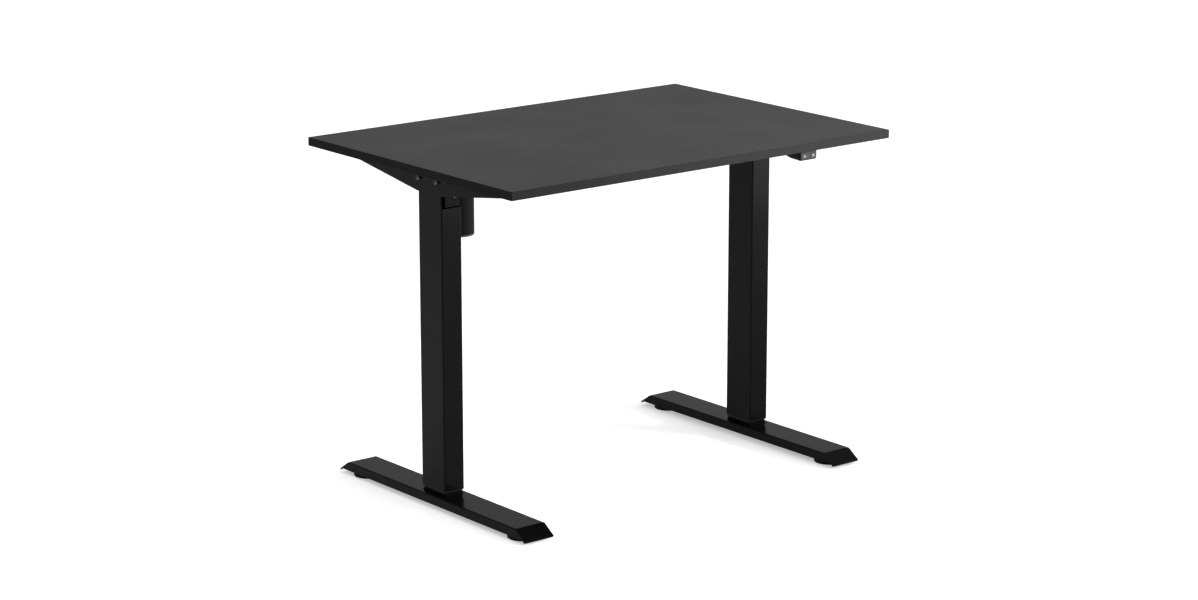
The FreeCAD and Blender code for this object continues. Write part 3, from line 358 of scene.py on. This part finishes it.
# %% Assign the finishes
for piece in nodes.values():
    for slot in piece.material_slots:
        slot.material = finishes[slot.material.name.split(".")[0]]
print("dressed pieces:", len(nodes))

# %% [markdown]
# ## Skins from grids of points
#
# The pieces made here are closed skins over a grid: one index runs along a profile, the other
# round the piece. They could be built from ready-made cylinders and cut, but a formula on a grid
# gives ribs, threads and rounded outlines in one go. A fan of triangles joins the first row to
# one point and the last row to another, so the skin has no holes.

# %% A closed skin
SHARP_ANGLE = 38.0          # degrees; faces that meet at more than this keep a crisp edge


def closed_skin(name, rows, first_point, last_point):
    """Mesh over rows of points, shape (rows, columns, 3), closed by a fan at each end.

    Quads join each point to its right neighbour and the two points above them; the volume
    under the faces is the sum of a . (b x c) / 6, and a negative one turns all faces round.
    """
    count, columns = rows.shape[:2]
    points = np.concatenate([rows.reshape(-1, 3), [first_point, last_point]])
    index = np.arange(count * columns).reshape(count, columns)
    right = np.roll(index, -1, axis=1)
    quads = np.stack([index[:-1], right[:-1], right[1:], index[1:]], axis=-1).reshape(-1, 4)
    start, end = count * columns, count * columns + 1
    first_fan = np.stack([right[0], index[0], np.full(columns, start)], axis=-1)
    last_fan = np.stack([index[-1], right[-1], np.full(columns, end)], axis=-1)
    triangles = np.concatenate([quads[:, :3], quads[:, [0, 2, 3]], first_fan, last_fan])
    a, b, c = (points[triangles[:, k]] for k in range(3))
    volume = np.einsum("ij,ij->i", a, np.cross(b, c)).sum() / 6
    faces = quads.tolist() + first_fan.tolist() + last_fan.tolist()
    if volume < 0:
        faces = [face[::-1] for face in faces]
    mesh = bpy.data.meshes.new(name)
    mesh.from_pydata(points.tolist(), [], faces)
    mesh.shade_smooth()
    mesh.set_sharp_from_angle(angle=math.radians(SHARP_ANGLE))
    piece = bpy.data.objects.new(name, mesh)
    bpy.context.scene.collection.objects.link(piece)
    print(name, "faces:", len(faces), "volume in cm3:", round(abs(volume) * 1e6, 3))
    return piece


# %% Resample a profile
def along_profile(corners, step):
    """Points at about that spacing along straight runs between corners, corners kept."""
    corners = np.array(corners, float)
    lengths = np.linalg.norm(np.diff(corners, axis=0), axis=1)
    pieces = [
        np.linspace(a, b, max(int(math.ceil(length / step)), 1), endpoint=False)
        for a, b, length in zip(corners[:-1], corners[1:], lengths)
    ]
    return np.concatenate(pieces + [corners[-1:]])


# %% [markdown]
# ## Levelling glides
#
# Each foot stands on two moulded discs, 64 mm wide. A person turns them by hand to level the
# desk, so their rim has shallow grip ribs. The disc is a profile turned round an upright axis,
# and the ribs are a wave round the rim that takes a little off the radius.

# %% Ribbed glide pads
PAD_HOLE_FLOOR = 0.005      # height of the floor of the hole that holds the stud
RIBS = 48                   # grip ribs round the rim
RIB_DEPTH = 0.00035
RIM_START = 0.0300          # radius where the ribs begin to rise
RIM_RISE = 0.0006           # they have their full depth this much further out
FOOT_RISE = 0.002           # and from this height up
pad_profile = [
    # radius and height, from the hole over the top and the rim to the underside
    (0.0040, PAD_HOLE_FLOOR),
    (0.0040, 0.0119),
    (0.0088, 0.0119),
    (0.0292, 0.0092),
    (0.0304, 0.0088),
    (0.0308, 0.0082),
    (0.03185, 0.0030),
    (0.0317, 0.0016),
    (0.0310, 0.0005),
    (0.0296, 0.0),
    (0.004, 0.0),
]


def turned_rows(x, y, radius, height, around):
    """Grid of points round the upright axis at x, y: radius and height against angle."""
    wide = x + radius * np.cos(around)
    deep = y + radius * np.sin(around)
    return np.stack(np.broadcast_arrays(wide, deep, height), -1)


def glide_pad(name, x, y):
    """Disc: radius = profile - rib depth * (raised cosine of 48 turns) ^ 2, only on the rim."""
    profile = along_profile(pad_profile, step=0.0018)
    around = np.linspace(0, 2 * math.pi, 6 * RIBS, endpoint=False)
    radius, height = profile[:, :1], profile[:, 1:]
    on_rim = np.clip((radius - RIM_START) / RIM_RISE, 0, 1) * np.clip(height / FOOT_RISE, 0, 1)
    ribs = RIB_DEPTH * (0.5 + 0.5 * np.cos(RIBS * around)) ** 2
    rows = turned_rows(x, y, radius - on_rim * ribs, height, around)
    return closed_skin(name, rows, (x, y, PAD_HOLE_FLOOR), (x, y, 0.0))


# %% [markdown]
# ## Threaded studs
#
# An M8 stud joins each disc to its foot, with a hexagon for a spanner just above the disc. When
# a glide is turned out, some thread shows. Radius is a function of height and angle here: a
# zigzag that climbs one pitch a turn makes the thread, and a hexagon's radius makes the
# spanner flats.

# %% Studs with thread and hexagon
STUD_RADIUS = 0.004
THREAD_PITCH = 0.00125
THREAD_DEPTH = 0.0006
STUD_TOP = 0.0265
COLLAR = (0.012, 0.0137)    # lowest and highest point of the hexagon
HALF_FLATS = 0.0065         # half the hexagon's width across its flats
STEP_EDGE = 0.00001         # height of the step between thread and hexagon


def glide_stud(name, x, y):
    """Stud: radius = stud radius - thread depth * zigzag of (height / pitch - angle / turn).

    In the collar the radius is that of a hexagon: half its width across the flats divided by
    the cosine of the angle from the middle of the nearest flat.
    """
    around = np.linspace(0, 2 * math.pi, 48, endpoint=False)
    up_the_thread = np.arange(PAD_HOLE_FLOOR, STUD_TOP + STEP_EDGE, THREAD_PITCH / 6)
    collar_edges = [COLLAR[0] - STEP_EDGE, *COLLAR, COLLAR[1] + STEP_EDGE]
    height = np.unique(np.concatenate([up_the_thread, collar_edges]))[:, None]
    wave = np.abs((height / THREAD_PITCH - around / (2 * math.pi)) % 1.0 * 2 - 1)
    thread = STUD_RADIUS - THREAD_DEPTH * wave
    sixth = math.pi / 3
    hexagon = HALF_FLATS / np.cos((around + sixth / 2) % sixth - sixth / 2)
    in_collar = (height >= COLLAR[0]) & (height <= COLLAR[1])
    rows = turned_rows(x, y, np.where(in_collar, hexagon, thread), height, around)
    return closed_skin(name, rows, (x, y, PAD_HOLE_FLOOR), (x, y, float(height[-1, 0])))


# %% Put four glides in place
def middle_of(node):
    """Middle of the box of a piece of the frame."""
    low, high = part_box(node)
    return [(a + b) / 2 for a, b in zip(low, high)]


for side in ("left", "right"):
    for end in ("front", "back"):
        glide = side + "_" + end + "_glide"
        x, y = middle_of(glide + "_pad")[:2]
        for make, part, slot_name in (
            (glide_pad, "_pad", "glide_plastic"),
            (glide_stud, "_stud", "zinc_bolt"),
        ):
            piece = make("shaped_" + glide + part, x, y)
            piece.data.materials.append(finishes[slot_name])
            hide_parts(glide + part)
            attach(piece, glide)

# %% [markdown]
# ## Arrow marks on the buttons
#
# The two buttons of the handset carry a pale arrow each, one up and one down. The mark is a
# thin pad of ink that stands a tenth of a millimetre proud. Its outline is a triangle with
# soft corners: a circle pushed inwards three times on its way round.

# %% Arrow marks
MARK_REACH = 0.0018         # from the middle of the mark to the middle of a side
CORNER_REACH = 1.75         # corners are cut off at this many times that reach
CORNER_SHARPNESS = 9        # a higher power makes crisper corners
INK_HEIGHT = 0.00013        # how far the ink stands out of the button
INK_ROOT = 0.00015          # how far the mark goes into it


def arrow_mark(name, node, pointing):
    """Pad with the outline of a soft triangle, pointing up (1) or down (-1).

    Distance from the middle = reach / (sum over three sides of cos(angle - side) ^ 9) ^ (1 / 9),
    with negative cosines left out. Six rings of that outline carry the pad from its face, over
    a rounded edge, to its root inside the button.
    """
    low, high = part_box(node)
    x, z = (low[0] + high[0]) / 2, (low[2] + high[2]) / 2
    face = low[1]
    around = np.linspace(0, 2 * math.pi, 96, endpoint=False)
    sides = math.pi / 2 * pointing + math.pi + np.array([0.0, 2.0, 4.0])[:, None] * math.pi / 3
    towards_side = np.maximum(np.cos(around - sides), 0)
    outline = (towards_side ** CORNER_SHARPNESS).sum(axis=0) ** (-1 / CORNER_SHARPNESS)
    outline = np.minimum(outline, CORNER_REACH) * MARK_REACH
    share = np.array([0.25, 0.6, 0.9, 1.0, 1.02, 1.0])[:, None]
    depth = np.array([-INK_HEIGHT, -INK_HEIGHT, -0.00012, -0.00008, 0.0, INK_ROOT])[:, None]
    wide = x + share * outline * np.cos(around)
    tall = z + share * outline * np.sin(around)
    rows = np.stack(np.broadcast_arrays(wide, face + depth, tall), -1)
    piece = closed_skin(name, rows, (x, face - INK_HEIGHT, z), (x, face + INK_ROOT, z))
    piece.data.materials.append(finishes["arrow_print"])
    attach(piece, node)


arrow_mark("up_arrow_mark", "up_button", 1)
arrow_mark("down_arrow_mark", "down_button", -1)

# %% [markdown]
# ## Floor
#
# A plain pale floor that is far larger than the view, so that no edge of it shows. It gets a
# very faint cloudiness, as a painted studio floor has. It also glows a little, as a light table
# does, so that only a faint shade is left under the feet.

# %% Studio floor
def studio_floor(half_size, glow):
    """Square floor of twice that size; glow is the light that it gives off by itself."""
    corners = np.array([(-1, -1, 0), (1, -1, 0), (1, 1, 0), (-1, 1, 0)]) * half_size
    mesh = bpy.data.meshes.new("studio_floor")
    mesh.from_pydata(corners.tolist(), [], [(0, 1, 2, 3)])
    floor = bpy.data.objects.new("studio_floor", mesh)
    bpy.context.scene.collection.objects.link(floor)
    material, tree, shader = start_finish("pale_floor_paint", roughness=0.9, shine=0.0)
    shade = cloud(tree, place_on_piece(tree), per_metre=0.6, octaves=2.0)
    colour = blend_colours(tree, spread(tree, shade, 0.0, 1.0), grey(0.83), grey(0.85))
    tree.links.new(colour, shader.inputs["Base Color"])
    shader.inputs["Emission Color"].default_value = (1.0, 1.0, 1.0, 1.0)
    shader.inputs["Emission Strength"].default_value = glow
    mesh.materials.append(material)
    print("floor side:", 2 * half_size)


studio_floor(half_size=60.0, glow=0.4)

# %% [markdown]
# ## Light
#
# A dark, satin object is shaped by what it mirrors as much as by what lights it. The sky is dim
# near the horizon and brighter above and in front, which keeps the left faces dark. One soft box
# at the front right, at the height of the desktop, lights the front edge; it is kept out of all
# mirror reflections, because the desktop would mirror it as glare for someone behind the desk. A
# second, low box does the opposite: it is only mirrored, and gives the heads of the legs a gleam.

# %% Sky that brightens above and in front
def studio_sky(horizon, overhead, bright_way):
    """Brightness = horizon + (overhead - horizon) * (part along the bright way) squared."""
    world = bpy.data.worlds.new("studio_sky")
    bpy.context.scene.world = world
    world.use_nodes = True
    tree = world.node_tree
    direction = tree.nodes.new("ShaderNodeTexCoord").outputs["Generated"]
    along = tree.nodes.new("ShaderNodeVectorMath")
    along.operation = "DOT_PRODUCT"
    along.inputs[1].default_value = bright_way
    tree.links.new(direction, along.inputs[0])
    ahead = tree.nodes.new("ShaderNodeMath")
    ahead.operation = "MAXIMUM"
    ahead.inputs[1].default_value = 0.0
    squared = tree.nodes.new("ShaderNodeMath")
    squared.operation = "POWER"
    squared.inputs[1].default_value = 2.0
    tree.links.new(along.outputs["Value"], ahead.inputs[0])
    tree.links.new(ahead.outputs["Value"], squared.inputs[0])
    strength = spread(tree, squared.outputs["Value"], horizon, overhead, 0.0, 1.0)
    tree.links.new(strength, tree.nodes["Background"].inputs["Strength"])
    tree.nodes["Background"].inputs["Color"].default_value = (1.0, 1.0, 1.0, 1.0)
    print("sky from", horizon, "to", overhead)


studio_sky(horizon=0.6, overhead=1.6, bright_way=(-0.1, -0.6, 0.794))


# %% Soft boxes
def soft_box(name, place, target, size, watts, spread_angle, gleam):
    """Lamp of that width and height at a place, looking at the target through a grid.

    The grid keeps the light within the spread angle, in degrees. A gleam box is only mirrored by
    glossy faces; any other box only lights them and leaves no glare.
    """
    lamp = bpy.data.lights.new(name, "AREA")
    lamp.shape = "RECTANGLE"
    lamp.size, lamp.size_y = size
    lamp.energy = watts
    lamp.spread = math.radians(spread_angle)
    holder = bpy.data.objects.new(name, lamp)
    holder.location = place
    away = holder.location - Vector(target)
    holder.visible_camera = False
    holder.visible_glossy, holder.visible_diffuse = gleam, not gleam
    holder.rotation_euler = away.to_track_quat("Z", "Y").to_euler()
    bpy.context.scene.collection.objects.link(holder)
    print(name, "distance:", round(away.length, 2))


soft_box(
    "front_soft_box", place=(1.6, -1.75, 0.84), target=(0.3, -0.35, 0.84),
    size=(1.2, 0.4), watts=40.0, spread_angle=50.0, gleam=False,
)
soft_box(
    "gleam_box", place=(1.25, -1.6, 0.4), target=(0.0, -0.04, 0.45),
    size=(1.6, 0.5), watts=8.5, spread_angle=180.0, gleam=True,
)

# %% [markdown]
# ## Camera
#
# A long lens from the front left and above, looking slightly down. The lens axis points straight
# at the scene, with no shift, and everything is in focus. The colours are shown as they are,
# without the tone curve of a film, so that the pale floor stays white.

# %% Camera
TILT = 75.9113                  # degrees up from looking straight down
TURN = -38.7885                 # degrees round from looking along +Y
camera_data = bpy.data.cameras.new("studio_camera")
camera_data.sensor_width = 36.0
camera_data.lens = 96.819       # millimetres, as the sensor's width
camera_data.clip_end = 500.0    # so that the far end of the floor isn't cut off
camera = bpy.data.objects.new("studio_camera", camera_data)
camera.location = (-4.15639, -5.16706, 2.03622)
camera.rotation_euler = (math.radians(TILT), 0.0, math.radians(TURN))
bpy.context.scene.collection.objects.link(camera)
bpy.context.scene.camera = camera
bpy.context.scene.view_settings.view_transform = "Standard"
print("camera height:", camera.location.z)
